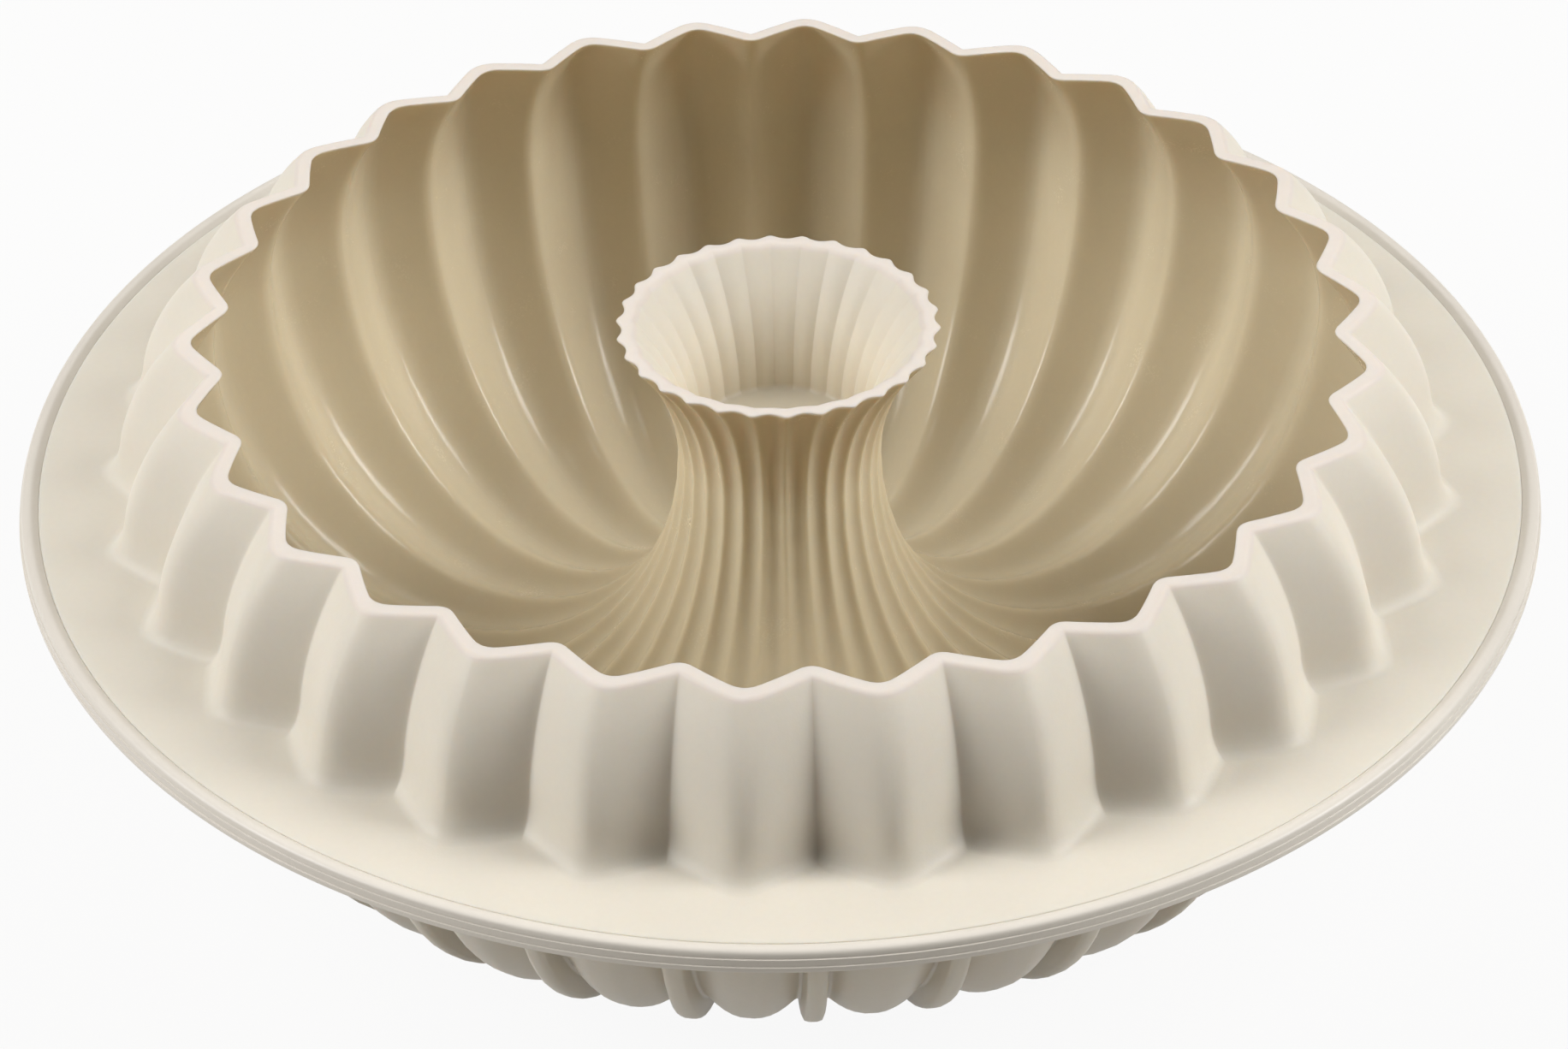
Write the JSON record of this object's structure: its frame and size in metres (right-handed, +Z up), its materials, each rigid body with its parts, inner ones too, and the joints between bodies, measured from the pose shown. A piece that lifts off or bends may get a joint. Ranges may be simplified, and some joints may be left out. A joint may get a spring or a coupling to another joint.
{
  "type": "silicone cake mould",
  "caption": "Round fluted silicone ring-cake mould with a central tube closed by a web, a flat flange, a stiffening ring on the flange edge and supporting fins underneath.",
  "frame": {"origin": "on the resting plane under the feet of the fins, at the mould's axis", "axes": "+Z up along the mould's axis, out of the trough's mouth; +X through the crest of a flute"},
  "size_m": [0.249, 0.249, 0.0815],
  "materials": {
    "silicone": "cream silicone, satin outside and polished on the batter side",
    "ring": "cream glass-filled nylon, fine matte"
  },
  "bodies": {
    "root": {"silicone_body": "silicone", "stiffening_ring": "ring"}
  },
  "joints": []
}
